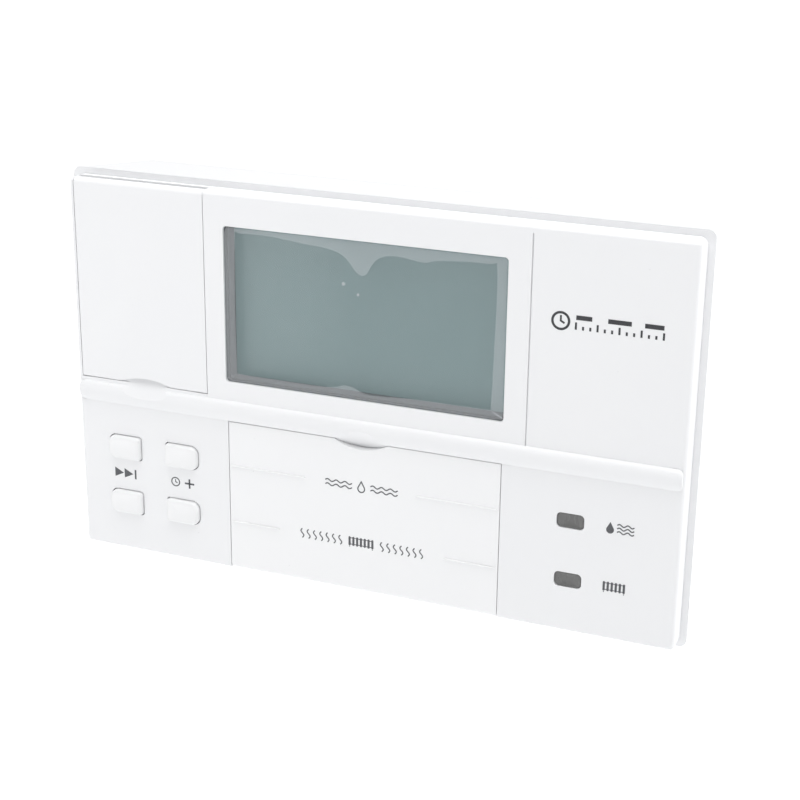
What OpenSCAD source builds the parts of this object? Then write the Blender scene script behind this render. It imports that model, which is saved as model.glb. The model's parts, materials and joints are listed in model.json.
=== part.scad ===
// Two-channel heating programmer with its wallplate.
// The wall is the plane y = 0, the front faces -Y and +Z is up.
// Depths in this file count backwards from the flat front panel, which is at depth 0.

/* [Casing] */
// Width across the step of the rear casing
casing_w = 145; // [141:0.5:149]
// Height across the step of the rear casing
casing_h = 90; // [88:0.5:92]
// Distance from the front panel to the wall
casing_d = 30; // [30:0.5:33]
// Width of the step that shows round the front cover
step_w = 1.45; // [1.2:0.05:1.6]
// Width of the step below the cover
bottom_step_w = 0.75; // [0.6:0.05:1.4]
// Width of the rear casing at the wall
back_w = 138; // [137:0.5:140]
// Height of the rear casing at the wall
back_h = 84.5; // [84:0.5:86]
// Depth of the front cover, from panel to step
cover_d = 4.6; // [4.4:0.1:4.8]

/* [Display] */
// Width of the window opening
window_w = 64.8; // [60:0.1:65]
// Height of the window opening
window_h = 35.2; // [30:0.1:35.4]
// Sideways place of the window
window_x = -0.55; // [-0.6:0.05:0.3]
// Height of the window's centre above the middle of the casing
window_z = 18.6; // [18:0.1:19]

/* [Doors] */
// Width of the upper-left door
door_w = 32; // [31:0.1:32]
// Height of the door's lower edge, below the middle of the casing
door_z0 = -2.45; // [-2.6:0.05:-2.3]
// Width of the opening for the flap
flap_w = 64.5; // [60:0.1:65]
// Sideways place of the flap
flap_x = -0.4; // [-0.6:0.05:0.3]
// Height of the flap's upper edge
flap_z1 = -8.45; // [-8.6:0.05:-8.3]
// Thickness of both doors
door_t = 2; // [1.8:0.1:2.1]
// Gap round the doors
door_gap = 0.2; // [0.2:0.05:0.35]

/* [Buttons] */
// Width of a push button
button_w = 8.3; // [7.5:0.1:8.5]
// Height of a push button
button_h = 5.6; // [5:0.1:5.8]
// How far a button stands out of the panel
button_out = 1.2; // [0.8:0.1:1.4]
// Travel of every button and key
button_travel = 0.5; // [0.3:0.05:0.5]

/* [Sliders] */
// Distance between two detents of a slide switch
detent_pitch = 4; // [3:0.5:4]

/* [Wallplate] */
// Spacing of the two fixing slots, as on a single wiring box
box_pitch = 60.3; // [60:0.1:61]
// Pitch of the wiring terminals
terminal_pitch = 13; // [12:0.5:13]

/* [Hidden] */
$fn = 48;
eps = 0.01;

// Colours
shell_white = [0.93, 0.93, 0.94];
dark_grey = [0.25, 0.26, 0.27];
board_green = [0.13, 0.35, 0.2];
black = [0.09, 0.09, 0.1];
steel = [0.72, 0.72, 0.74];
brass = [0.78, 0.62, 0.3];

// Front cover
cover_w = casing_w - 2 * step_w;
cover_h = casing_h - step_w - bottom_step_w;
cover_top = casing_h / 2 - step_w;
cover_bottom = bottom_step_w - casing_h / 2;
cover_z = (cover_top + cover_bottom) / 2;
cover_r = 1.7;
edge_r = 1;
panel_t = 2;
side_t = 1;
floor_d = 3.6;
bay_wall = 1.2;
lip_t = 1;
lip_d = 1.6;
fit_gap = 0.2;

// Ridge across the cover, between the display and the flap
ridge_top = -3.4;
ridge_crest = -5.2;
ridge_bottom = -8.3;
ridge_out = 1.1;
ridge_root = 0.3;
ridge_corner_r = 1.3;
ridge_end = cover_w / 2 - 0.65;

// Rear casing
rim_t = 3.3;
back_t = 1.8;
casing_r = 1.6;
back_r = 2.2;
rear_floor = [17, 18.5];

// Upper-left door
door_x0 = -cover_w / 2 + side_t + door_gap;
door_x1 = door_x0 + door_w;
door_hinge_r = 1.25;
door_hinge_d = door_hinge_r;
door_hinge_z = cover_top - door_hinge_r;
door_pin_r = 0.8;
door_pin_l = [0.8, 1.1];
door_slot_d = [2.9, 3.4];
door_slot_over = 1.5;

// Lower flap
flap_x0 = flap_x - flap_w / 2 + door_gap;
flap_x1 = flap_x + flap_w / 2 - door_gap;
flap_hinge_r = 1.5;
flap_hinge_d = flap_hinge_r;
flap_hinge_z = cover_bottom + flap_hinge_r;
flap_pin_r = 1;
flap_pin_l = 1;
pin_play = 0.05;

// Finger notches: half width, then how far each arc goes above and below the door's edge
notch_half = 6.3;
door_notch_x = -53.4;
door_notch = [1.2, 1.7];
flap_notch = [1.4, 1.75];
door_scoop_d = 1.3;
flap_scoop_d = 1.9;
scoop_gap = 0.1;

// Rows that the buttons, windows and selectors share
row_water = -18.7;
row_heating = -32.2;
button_x = [-59.45, -44.65];
indicator_x = 47.3;
indicator_w = 6;
indicator_h = 3.4;
seam_x = 36.9;
seam_w = 0.24;
seam_deep = 0.45;

// Boards and the liquid crystal cell
lcd_d = [4.9, 7.1];
front_board_d = [9.4, 11];
main_board_d = [14.4, 16];
board_x = 66;
board_z = 39;
post_x = 65.4;
post_z = 38.3;
post_r = 2.4;

// Switches and their caps
button_switch_h = 2.6;
key_switch_h = 1.6;
plunger_out = 0.4;
plunger_r = 1.6;
plunger_play = 0.05;
cap_play = 0.15;
flange_w = 0.8;
stem_r = 1.2;
button_outer_r = 1.8;
button_inner_r = 0.6;
key_w = 7;
key_h = 4.4;
key_x = [-60.5, -47];
key_z = [19, 9];
key_out = 1.2;
mode_x = -53.75;
mode_z = 30.5;
slot_h = 2.6;
stem_w = 2.4;
selector_x = flap_x;

// Columns of parts on the main board
power_x = 48.5;
power_w = 18;
relay_h = 15;
relay_deep = 10.4;
relay_z = [30.9, 13.5];
dropper_z = -0.6;
can_x = 62.3;
can_r = 4;
can_z = [22, 11];
fuse_z = -9;
cell_x = 61.9;
cell_z = -23;
cell_r = 5;

// Wallplate and wiring
plate_w = 132.6;
plate_h = 79;
plate_d = [28, 30];
block_x = 42;
block_z = [15, 34];
block_d = [19.2, 28];
screw_z = 20.5;
blade_z = 29.5;
wire_r = 1.8;
lock_x = 48;
lock_d = 24.5;
lock_seat = -41.3;
lock_head_r = 3.2;
lock_shank_r = 1.6;
hook_x = 30;
hook_z = [38.5, 40.4];
hook_d = [25.4, 27];
entry = [20, -27, -7];
clamp_x = 15;
clamp_z = -32;

// Radius of an arc from its half width and its height
function sagitta_r(half, rise) = (half * half + rise * rise) / (2 * rise);
function terminal_x(i) = (i - 2.5) * terminal_pitch;
// Depth at which a stem ends, a full travel in front of its switch when the switch is pressed
function stem_end(switch_h) =
    front_board_d[0] - switch_h - plunger_out - plunger_play - button_travel;

// A plate between two depths, from a shape drawn in the front view
module slab(d0, d1) {
    translate([0, d1 - casing_d, 0])
        rotate([90, 0, 0])
            linear_extrude(d1 - d0)
                children();
}

// A round bar along the depth
module rod(x, z, r, d0, d1) {
    slab(d0, d1)
        translate([x, z])
            circle(r);
}

// A box given by its sides in the front view and its depths
module block(x0, x1, z0, z1, d0, d1) {
    translate([x0, d0 - casing_d, z0])
        cube([x1 - x0, d1 - d0, z1 - z0]);
}

// A round bar along X at one depth and height
module bar_x(x0, x1, d, z, r) {
    translate([x0, d - casing_d, z])
        rotate([0, 90, 0])
            cylinder(r = r, h = x1 - x0);
}

// A round bar along Z
module bar_z(x, d, z0, z1, r) {
    translate([x, d - casing_d, z0])
        cylinder(r = r, h = z1 - z0);
}

module round_rect(w, h, r) {
    square([w - 2 * r, h], center = true);
    square([w, h - 2 * r], center = true);
    for (sx = [-1, 1], sz = [-1, 1])
        translate([sx * (w / 2 - r), sz * (h / 2 - r)])
            circle(r);
}

// Section of a block whose two front edges are round
module soft_profile(w, depth, r) {
    translate([-w / 2, r])
        square([w, depth - r]);
    translate([-w / 2 + r, 0])
        square([w - 2 * r, depth]);
    for (s = [-1, 1])
        translate([s * (w / 2 - r), r])
            circle(r);
}

// A block with round corners and round front edges, front face at depth d0
module soft_block(w, h, d0, d1, corner, edge) {
    intersection() {
        slab(d0, d1)
            round_rect(w, h, corner);
        translate([0, d0 - casing_d, -h / 2])
            linear_extrude(h)
                soft_profile(w, d1 - d0, edge);
        translate([w / 2, d0 - casing_d, 0])
            rotate([0, -90, 0])
                linear_extrude(w)
                    soft_profile(h, d1 - d0, edge);
    }
}

// Half of the bead's section: an arc that falls from the crest to the panel at height z
module ridge_half(z) {
    r = sagitta_r(abs(z - ridge_crest), ridge_out);
    intersection() {
        translate([ridge_crest, r - ridge_out])
            circle(r, $fn = 96);
        translate([min(z, ridge_crest), -ridge_out])
            square([abs(z - ridge_crest), ridge_out + ridge_root]);
    }
}

// Long bead with a steep upper side, a gentle lower side and rounded corners.
// Its section is drawn as height against depth.
module ridge() {
    intersection() {
        translate([ridge_end, -casing_d, 0])
            rotate([0, -90, 0])
                linear_extrude(2 * ridge_end) {
                    ridge_half(ridge_top);
                    ridge_half(ridge_bottom);
                }
        slab(-2 * ridge_out, 1)
            translate([0, (ridge_top + ridge_bottom) / 2])
                round_rect(2 * ridge_end, ridge_top - ridge_bottom, ridge_corner_r);
    }
}

// Walls and floor of a bay behind a door; the floor is level with the cover's rear edge
module bay(x0, x1, z0, z1) {
    block(x0 - bay_wall, x1 + bay_wall, z0 - bay_wall, z1 + bay_wall, panel_t - eps, cover_d);
}

module cover_post(x, z, d0) {
    difference() {
        rod(x, z, post_r, d0, rear_floor[0]);
        rod(x, z, 1.25, rear_floor[0] - 10, rear_floor[0] + eps);
    }
}

module front_cover() {
    color(shell_white)
    difference() {
        union() {
            cover_shell();
            scoop_ledge(door_notch_x, door_z0, 1, door_notch[0]);
            scoop_ledge(flap_x, flap_z1, -1, flap_notch[1]);
        }
        // Scoops that a fingertip reaches into below the door and above the flap
        finger_scoop(door_notch_x, door_z0, 1, door_notch, door_scoop_d);
        finger_scoop(flap_x, flap_z1, -1, flap_notch, flap_scoop_d);
    }
}

module cover_shell() {
    inner_w = cover_w - 2 * 1.5;
    inner_h = cover_h - 2 * 1.5;
    difference() {
        union() {
            difference() {
                translate([0, 0, cover_z])
                    soft_block(cover_w, cover_h, 0, cover_d, cover_r, edge_r);
                slab(panel_t, cover_d + eps)
                    translate([0, cover_z])
                        round_rect(inner_w, inner_h, 0.8);
            }
            ridge();
            bay(-cover_w / 2 + side_t + bay_wall, door_x1 + door_gap,
                door_z0 - door_gap, cover_top - 2.5);
            bay(flap_x0 - door_gap, flap_x1 + door_gap, cover_bottom + 2.5, flap_z1 + door_gap);
            difference() {
                slab(cover_d - 1, cover_d + lip_d)
                    round_rect(casing_w - 2 * (rim_t + fit_gap), casing_h - 2 * (rim_t + fit_gap), 1.5);
                slab(cover_d - 2, cover_d + lip_d + 1)
                    round_rect(casing_w - 2 * (rim_t + fit_gap + lip_t),
                               casing_h - 2 * (rim_t + fit_gap + lip_t), 0.8);
            }
            for (sx = [-1, 1], sz = [-1, 1])
                cover_post(sx * post_x, sz * post_z, panel_t - eps);
        }
        // Display window, button holes and indicator windows
        slab(-2, cover_d)
            translate([window_x, window_z])
                round_rect(window_w, window_h, 0.8);
        for (x = button_x, z = [row_water, row_heating])
            slab(-2, panel_t + 1)
                translate([x, z])
                    button_outline(x, cap_play);
        for (z = [row_water, row_heating])
            slab(-2, panel_t + 1)
                translate([indicator_x, z])
                    round_rect(indicator_w, indicator_h, 1);
        block(seam_x - seam_w / 2, seam_x + seam_w / 2,
              ridge_top - 0.1, cover_top - 1.8, -1, seam_deep);
        // Door bay, the slot behind the door's upper edge, and its hinge holes
        block(door_x0 - door_gap, door_x1 + door_gap,
              door_z0 - door_gap, cover_top - 2.5 * door_hinge_r, -2, floor_d);
        block(door_x0 - door_gap, door_x1 + door_gap, cover_top - 3 * door_hinge_r, cover_top + 1,
              -2, door_slot_d[1]);
        block(door_x0, door_x1 + door_gap + door_slot_over, cover_top - 0.45, cover_top + 1,
              door_slot_d[0], door_slot_d[1]);
        bar_x(door_x0 - door_pin_l[0] - 0.1, door_x1 + door_pin_l[1] + 0.15,
              door_hinge_d, door_hinge_z, door_pin_r + pin_play);
        // Flap bay, open at the bottom, and its hinge holes
        block(flap_x0 - door_gap, flap_x1 + door_gap, cover_bottom - 1, flap_z1 + door_gap, -0.6, floor_d);
        bar_x(flap_x0 - door_gap - flap_pin_l, flap_x1 + door_gap + flap_pin_l,
              flap_hinge_d, flap_hinge_z, flap_pin_r + pin_play);
        // Holes for the keys and slots for the slide switches
        for (x = key_x, z = key_z)
            block(x - key_w / 2 - cap_play, x + key_w / 2 + cap_play,
                  z - key_h / 2 - cap_play, z + key_h / 2 + cap_play, floor_d - 1, cover_d + 1);
        slider_slot(mode_x, mode_z, 2);
        slider_slot(selector_x, row_water, 3);
        slider_slot(selector_x, row_heating, 3);
    }
}

// Ball that cuts a scoop: side is 1 where the door lies above the scoop, -1 where it lies below.
// The scoop starts at its arc on the cover and reaches its depth at the top of the door's notch.
module finger_scoop(x, edge, side, notch, deep) {
    drop = side > 0 ? notch[1] : notch[0];
    rise = side > 0 ? notch[0] : notch[1];
    arc_r = sagitta_r(notch_half, drop);
    reach = arc_r - drop - rise;
    back = (arc_r * arc_r - reach * reach - deep * deep) / (2 * deep);
    intersection() {
        translate([x, -casing_d - back, edge + side * (arc_r - drop)])
            sphere(norm([back, arc_r]), $fn = 96);
        block(x - notch_half, x + notch_half, edge - 4, edge + 4, -3, deep + 1);
    }
}

// Solid under a scoop, inside the door's notch and clear of the door
module scoop_ledge(x, edge, side, rise) {
    arc_r = sagitta_r(notch_half, rise);
    intersection() {
        rod(x, edge + side * (rise - arc_r), arc_r - scoop_gap, 0.4, floor_d + 0.1);
        block(x - notch_half, x + notch_half, edge - 2, edge + 2, 0, cover_d);
    }
}

// Slot for a slide switch's stem, with its number of steps
module slider_slot(x, z, steps) {
    half = (steps * detent_pitch + stem_w) / 2 + cap_play;
    block(x - half, x + half, z - slot_h / 2, z + slot_h / 2, floor_d - 1, cover_d + 1);
}

// Closed shape of the rear casing at each end, thin enough to be a section
module casing_section(w, h, r, d) {
    slab(d, d + eps)
        round_rect(w, h, r, $fn = 32);
}

module rear_casing() {
    color(shell_white)
    difference() {
        union() {
            difference() {
                hull() {
                    casing_section(casing_w, casing_h, casing_r, cover_d);
                    casing_section(back_w, back_h, back_r, casing_d - eps);
                }
                hull() {
                    casing_section(casing_w - 2 * rim_t, casing_h - 2 * rim_t, 1, cover_d - 0.1);
                    casing_section(back_w - 2 * back_t, back_h - 2 * back_t, 1, casing_d + 0.1);
                }
            }
            slab(rear_floor[0], rear_floor[1])
                square([casing_w - 6, casing_h - 5.4], center = true);
            // Bosses under the lock screws' heads, and ledges behind the wallplate's hooks
            for (s = [-1, 1])
                bar_z(s * lock_x, lock_d, lock_seat - 0.5, lock_seat + 1.4, lock_head_r + 1.6);
            for (s = [-1, 1])
                block(s * hook_x - 5, s * hook_x + 5, hook_z[1] - 0.6, hook_z[1] + 0.8,
                      hook_d[1] + 0.3, hook_d[1] + 1.8);
        }
        for (sx = [-1, 1], sz = [-1, 1]) {
            rod(sx * post_x, sz * post_z, 1.6, rear_floor[0] - 1, rear_floor[1] + 1);
        }
        for (i = [0 : 5])
            block(terminal_x(i) - 0.9, terminal_x(i) + 0.9, blade_z - 3.2, blade_z + 3.2,
                  rear_floor[0] - 1, rear_floor[1] + 1);
        for (s = [-1, 1]) {
            bar_z(s * lock_x, lock_d, -46, -38, lock_shank_r + 0.3);
            bar_z(s * lock_x, lock_d, -46, lock_seat, lock_head_r + 0.4);
        }
    }
}

// Outline of a push button: the corners on the outer side of the pair are the rounder ones
module button_outline(x, grow) {
    w = button_w / 2 + grow;
    h = button_h / 2 + grow;
    out = x < (button_x[0] + button_x[1]) / 2 ? -1 : 1;
    for (side = [-1, 1]) {
        r = (side == out ? button_outer_r : button_inner_r) + grow;
        block_2d(0, side * (w - r), -h, h);
        block_2d(0, side * w, r - h, h - r);
        for (sz = [-1, 1])
            translate([side * (w - r), sz * (h - r)])
                circle(r);
    }
}

// A rectangle given by its sides, in either order
module block_2d(x0, x1, z0, z1) {
    translate([min(x0, x1), min(z0, z1)])
        square([abs(x1 - x0), abs(z1 - z0)]);
}

// Cap, retaining flange and stem of a push button
module push_button(x, z) {
    color(shell_white)
    translate([x, 0, z]) {
        intersection() {
            soft_block(button_w, button_h, -button_out, panel_t + 1.05, 0.1, 0.5);
            slab(-button_out, panel_t + 1.05)
                button_outline(x, 0);
        }
        block(-button_w / 2 - flange_w, button_w / 2 + flange_w,
              -button_h / 2 - flange_w, button_h / 2 + flange_w, panel_t + 0.05, panel_t + 1.05);
        rod(0, 0, stem_r, panel_t + 1, stem_end(button_switch_h));
    }
}

module button_water_advance() {
    push_button(button_x[0], row_water);
}

module button_water_extend() {
    push_button(button_x[1], row_water);
}

module button_heating_advance() {
    push_button(button_x[0], row_heating);
}

module button_heating_extend() {
    push_button(button_x[1], row_heating);
}

// Programming key: a cap through the bay floor, held by a flange behind it
module key(x, z) {
    color(shell_white)
    translate([x, 0, z]) {
        soft_block(key_w, key_h, floor_d - key_out, 5.5, 0.6, 0.3);
        block(-key_w / 2 - flange_w, key_w / 2 + flange_w,
              -key_h / 2 - flange_w, key_h / 2 + flange_w, cover_d + 0.05, cover_d + 0.9);
        rod(0, 0, stem_r, 5.4, stem_end(key_switch_h));
    }
}

module key_up() {
    key(key_x[0], key_z[0]);
}

module key_down() {
    key(key_x[0], key_z[1]);
}

module key_next() {
    key(key_x[1], key_z[0]);
}

module key_copy() {
    key(key_x[1], key_z[1]);
}

// Knob of a slide switch, at the left end of its travel
module slider(x, z, steps) {
    start = x - steps * detent_pitch / 2;
    color(shell_white)
    translate([start, 0, z]) {
        soft_block(4.4, 5.2, floor_d - 1.15, floor_d - 0.1, 0.6, 0.3);
        block(-0.4, 0.4, -1.8, 1.8, floor_d - 1.35, floor_d - 1);
        block(-stem_w / 2, stem_w / 2, -slot_h / 2 + 0.2, slot_h / 2 - 0.2, floor_d - 0.2, 7);
        block(-stem_w / 2, stem_w / 2, -slot_h / 2 - flange_w, slot_h / 2 + flange_w,
              cover_d + 0.1, cover_d + 0.6);
    }
}

module mode_slider() {
    slider(mode_x, mode_z, 2);
}

module water_selector() {
    slider(selector_x, row_water, 3);
}

module heating_selector() {
    slider(selector_x, row_heating, 3);
}

module programming_door() {
    color(shell_white)
    difference() {
        union() {
            block(door_x0, door_x1, door_z0, door_hinge_z, 0, door_t);
            bar_x(door_x0, door_x1, door_hinge_d, door_hinge_z, door_hinge_r);
            bar_x(door_x0 - door_pin_l[0], door_x1 + door_pin_l[1],
                  door_hinge_d, door_hinge_z, door_pin_r);
        }
        r = sagitta_r(notch_half, door_notch[0]);
        rod(door_notch_x, door_z0 + door_notch[0] - r, r, -1, door_t + 1);
    }
}

module selector_flap() {
    rib_t = 0.35;
    color(shell_white)
    difference() {
        union() {
            block(flap_x0, flap_x1, flap_hinge_z, flap_z1, 0, door_t);
            bar_x(flap_x0, flap_x1, flap_hinge_d, flap_hinge_z, flap_hinge_r);
            bar_x(flap_x0 - door_gap - flap_pin_l + 0.1, flap_x1 + door_gap + flap_pin_l - 0.1,
                  flap_hinge_d, flap_hinge_z, flap_pin_r);
            // Raised lines that lead the eye to the two channel marks
            for (end = [[flap_x0 + 0.6, -13.6, row_water], [12.6, flap_x1 - 0.5, row_water],
                        [flap_x0 + 0.6, -20, row_heating], [19.2, flap_x1 - 0.5, row_heating]])
                block(end[0], end[1], end[2] - rib_t, end[2], -0.3, 0.5);
        }
        r = sagitta_r(notch_half, flap_notch[1]);
        rod(flap_x, flap_z1 - flap_notch[1] + r, r, -1, door_t + 1);
    }
}

module display_lens() {
    color([0.8, 0.85, 0.85, 0.4])
    slab(0.4, 1.8)
        translate([window_x, window_z])
            round_rect(window_w - 0.1, window_h - 0.1, 0.75);
}

module protective_film() {
    color([0.85, 0.9, 0.9, 0.3])
    slab(0.28, 0.4)
        translate([window_x, window_z])
            round_rect(window_w - 0.5, window_h - 0.5, 0.6);
}

// Collar behind the lens, and the holder of the liquid crystal cell
module lcd_frame() {
    color(dark_grey)
    difference() {
        union() {
            slab(1.8, lcd_d[0])
                translate([window_x, window_z])
                    round_rect(window_w - 0.2, window_h - 0.2, 0.7);
            slab(panel_t + 0.1, front_board_d[0])
                translate([window_x, window_z])
                    round_rect(window_w + 3.6, window_h + 3.6, 1);
        }
        slab(1, lcd_d[0] + 1)
            translate([window_x, window_z])
                round_rect(window_w - 0.8, window_h - 0.8, 0.5);
        slab(lcd_d[0] - 0.1, front_board_d[0] + 1)
            translate([window_x, window_z])
                square([window_w + 1.4, window_h + 1.4], center = true);
    }
}

module lcd_glass() {
    color([0.5, 0.6, 0.58])
    slab(lcd_d[0], lcd_d[1])
        translate([window_x, window_z])
            square([window_w + 1.2, window_h + 1.2], center = true);
}

module zebra_strips() {
    color([0.75, 0.6, 0.62])
    for (s = [-1, 1])
        translate([0, 0, window_z + s * (window_h / 2 - 1)])
            block(window_x - 28, window_x + 28, -1.1, 1.1, lcd_d[1], front_board_d[0]);
}

module indicator_windows() {
    color([0.35, 0.35, 0.36])
    for (z = [row_water, row_heating]) {
        slab(0.3, panel_t + eps)
            translate([indicator_x, z])
                round_rect(indicator_w - 0.1, indicator_h - 0.1, 0.95);
        slab(panel_t, panel_t + 0.6)
            translate([indicator_x, z])
                round_rect(indicator_w + 1.6, indicator_h + 1.6, 1.2);
    }
}

module indicator_leds() {
    color([0.75, 0.2, 0.15])
    for (z = [row_water, row_heating])
        translate([indicator_x, 0, z]) {
            rod(0, 0, 1.5, 4.4, front_board_d[0]);
            rod(0, 0, 1.85, front_board_d[0] - 3, front_board_d[0] - 2);
            translate([0, 4.4 - casing_d, 0])
                sphere(1.5);
        }
}

module front_board() {
    color(board_green)
    difference() {
        slab(front_board_d[0], front_board_d[1])
            union() {
                translate([-board_x, -board_z])
                    square([board_x + 37, 2 * board_z]);
                translate([36, -board_z])
                    square([19, board_z - 9]);
            }
        for (sz = [-1, 1])
            rod(-post_x, sz * post_z, post_r + 0.4, front_board_d[0] - 1, front_board_d[1] + 1);
    }
}

module main_board() {
    color(board_green)
    difference() {
        slab(main_board_d[0], main_board_d[1])
            square([2 * board_x, 2 * board_z], center = true);
        for (sx = [-1, 1], sz = [-1, 1])
            rod(sx * post_x, sz * post_z, post_r + 0.4, main_board_d[0] - 1, main_board_d[1] + 1);
    }
}

// Tactile switch on the front board, with a body of height body_h
module tact_switch(x, z, body_h) {
    base = front_board_d[0];
    block(x - 3, x + 3, z - 3, z + 3, base - body_h, base);
    rod(x, z, plunger_r, base - body_h - plunger_out, base - body_h + eps);
}

module front_switches() {
    color(black)
    for (x = button_x, z = [row_water, row_heating])
        tact_switch(x, z, button_switch_h);
}

module key_switches() {
    color(black)
    for (x = key_x, z = key_z)
        tact_switch(x, z, key_switch_h);
}

// Body of a slide switch, with an open channel for the stem
module slide_switch(x, z, steps) {
    half = (steps * detent_pitch + stem_w) / 2 + cap_play;
    difference() {
        block(x - half - 2, x + half + 2, z - 3.4, z + 3.4, 5.4, front_board_d[0]);
        block(x - half, x + half, z - slot_h / 2, z + slot_h / 2, 5, 7.6);
    }
}

module mode_switch() {
    color(black)
    slide_switch(mode_x, mode_z, 2);
}

module selector_switches() {
    color(black)
    for (z = [row_water, row_heating])
        slide_switch(selector_x, z, 3);
}

module processor() {
    color(black)
    block(-7, 7, 9, 23, front_board_d[1], front_board_d[1] + 1.6);
}

module crystal() {
    color(steel)
    bar_x(12, 18, front_board_d[1] + 1.05, 16, 1.05);
}

module board_link() {
    color(black)
    block(-22, 8, -37.5, -35, front_board_d[1], main_board_d[0]);
}

// Two relays, one above the other, beside the display board
module relays() {
    color([0.12, 0.25, 0.5])
    for (z = relay_z)
        translate([power_x, 0, z])
            soft_block(power_w, relay_h, main_board_d[0] - relay_deep, main_board_d[0], 0.6, 0.4);
}

module dropper_capacitor() {
    color([0.85, 0.75, 0.2])
    translate([power_x, 0, dropper_z])
        soft_block(power_w, 8, main_board_d[0] - 11.6, main_board_d[0], 0.5, 0.4);
}

module smoothing_capacitors() {
    color([0.1, 0.1, 0.25])
    for (z = can_z)
        difference() {
            rod(can_x, z, can_r, main_board_d[0] - 11, main_board_d[0]);
            round_groove(can_x, z, can_r, main_board_d[0] - 1.4);
        }
}

// Shallow groove round a can
module round_groove(x, z, r, d) {
    translate([x, d - casing_d, z])
        rotate([90, 0, 0])
            rotate_extrude()
                translate([r + 0.15, 0])
                    circle(0.45);
}

module surge_varistor() {
    lead_gap = 2.2;
    lead_r = 0.4;
    color([0.15, 0.35, 0.6])
    bar_z(can_x, main_board_d[0] - 5.6, -2.2, 1.8, 4.4);
    color(steel)
    for (s = [-1, 1])
        rod(can_x + s * lead_gap, -0.2, lead_r, main_board_d[0] - 3, main_board_d[0]);
}

module fuse_link() {
    color([0.4, 0.2, 0.12])
    rod(can_x, fuse_z, 4, main_board_d[0] - 7.5, main_board_d[0]);
}

// Coin cell on a smaller seat
module backup_cell() {
    color(steel) {
        rod(cell_x, cell_z, cell_r, main_board_d[0] - 5.4, main_board_d[0] - 0.8);
        rod(cell_x, cell_z, 3.6, main_board_d[0] - 0.9, main_board_d[0]);
    }
}

// Spring strap over the cell
module cell_clip() {
    strap_t = 0.5;
    half_w = 1.5;
    reach = cell_r + 0.8;
    over = main_board_d[0] - 6;
    color(steel)
    difference() {
        block(cell_x - half_w, cell_x + half_w, cell_z - reach, cell_z + reach, over, main_board_d[0]);
        block(cell_x - 2, cell_x + 2, cell_z - reach + strap_t, cell_z + reach - strap_t,
              over + strap_t, main_board_d[0] + 1);
    }
}

module plug_blades() {
    color(brass)
    for (i = [0 : 5])
        block(terminal_x(i) - 0.4, terminal_x(i) + 0.4, blade_z - 2.4, blade_z + 2.4,
              main_board_d[1], 25);
}

// Pan head screw along the depth, head at the back
module pan_screw(x, z, r, head_r, seat, tip) {
    rod(x, z, r, tip, seat + eps);
    difference() {
        rod(x, z, head_r, seat, seat + 1.3);
        block(x - head_r, x + head_r, z - 0.35, z + 0.35, seat + 0.7, seat + 2);
        block(x - 0.35, x + 0.35, z - head_r, z + head_r, seat + 0.7, seat + 2);
    }
}

module casing_screws() {
    color(steel)
    for (sx = [-1, 1], sz = [-1, 1])
        pan_screw(sx * post_x, sz * post_z, 1.22, 2.3, rear_floor[1], 9);
}

module wallplate() {
    color([0.88, 0.88, 0.87])
    difference() {
        union() {
            slab(plate_d[0], plate_d[1])
                round_rect(plate_w, plate_h, 3);
            // Rim along the two sides and the top
            difference() {
                slab(24, plate_d[0] + eps)
                    round_rect(plate_w, plate_h, 3);
                slab(23, plate_d[1])
                    round_rect(plate_w - 3, plate_h - 3, 1.5);
                block(-lock_x - 8, lock_x + 8, -plate_h, -plate_h / 2 + 4, 23, 27.9);
            }
            // Lugs for the two lock screws
            for (s = [-1, 1])
                block(s * lock_x - 5, s * lock_x + 5, -plate_h / 2, -plate_h / 2 + 5,
                      lock_d - 3.4, plate_d[0] + eps);
            // Hooks on the top edge
            for (s = [-1, 1])
                block(s * hook_x - 4, s * hook_x + 4, hook_z[0], hook_z[1], hook_d[0], hook_d[1]);
            // Posts for the cable clamp
            for (s = [-1, 1])
                rod(s * clamp_x, clamp_z, 3, 23, plate_d[0] + eps);
        }
        block(-entry[0], entry[0], entry[1], entry[2], plate_d[0] - 1, plate_d[1] + 1);
        for (s = [-1, 1])
            slab(plate_d[0] - 1, plate_d[1] + 1)
                translate([s * box_pitch / 2, 0])
                    round_rect(8, 4.2, 2.1 - eps);
        for (sx = [-1, 1], sz = [-1, 1])
            rod(sx * 58, sz * 31, 2.25, plate_d[0] - 1, plate_d[1] + 1);
        for (s = [-1, 1])
            bar_z(s * lock_x, lock_d, -plate_h / 2 - 1, -plate_h / 2 + 6, lock_shank_r + pin_play);
        for (s = [-1, 1])
            rod(s * clamp_x, clamp_z, 1.3, 20, plate_d[1] + 1);
    }
}

module terminal_block() {
    color([0.2, 0.2, 0.21])
    difference() {
        block(-block_x, block_x, block_z[0], block_z[1], block_d[0], block_d[1]);
        for (i = [0 : 5]) {
            x = terminal_x(i);
            block(x - 3.6, x + 3.6, block_z[0] + 2, block_z[0] + 9, 21.5, 27.4);
            rod(x, screw_z, 2.7, block_d[0] - 1, 22);
            bar_z(x, 25, block_z[0] - 1, block_z[0] + 3, wire_r + 0.4);
            block(x - 0.8, x + 0.8, blade_z - 2.8, blade_z + 2.8, block_d[0] - 1, 26);
        }
    }
}

module terminal_clamps() {
    color(brass)
    for (i = [0 : 5]) {
        x = terminal_x(i);
        difference() {
            block(x - 3.4, x + 3.4, block_z[0] + 2.2, block_z[0] + 8.8, 21.7, 27.3);
            bar_z(x, 25, block_z[0] - 1, block_z[0] + 10, wire_r);
            rod(x, screw_z, 1.6, 21, 25);
        }
    }
}

module terminal_screws() {
    color(steel)
    for (i = [0 : 5]) {
        x = terminal_x(i);
        difference() {
            rod(x, screw_z, 2.4, 19.9, 21.4);
            block(x - 3, x + 3, screw_z - 0.35, screw_z + 0.35, 19, 20.8);
        }
        rod(x, screw_z, 1.55, 21.3, 23);
    }
}

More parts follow.
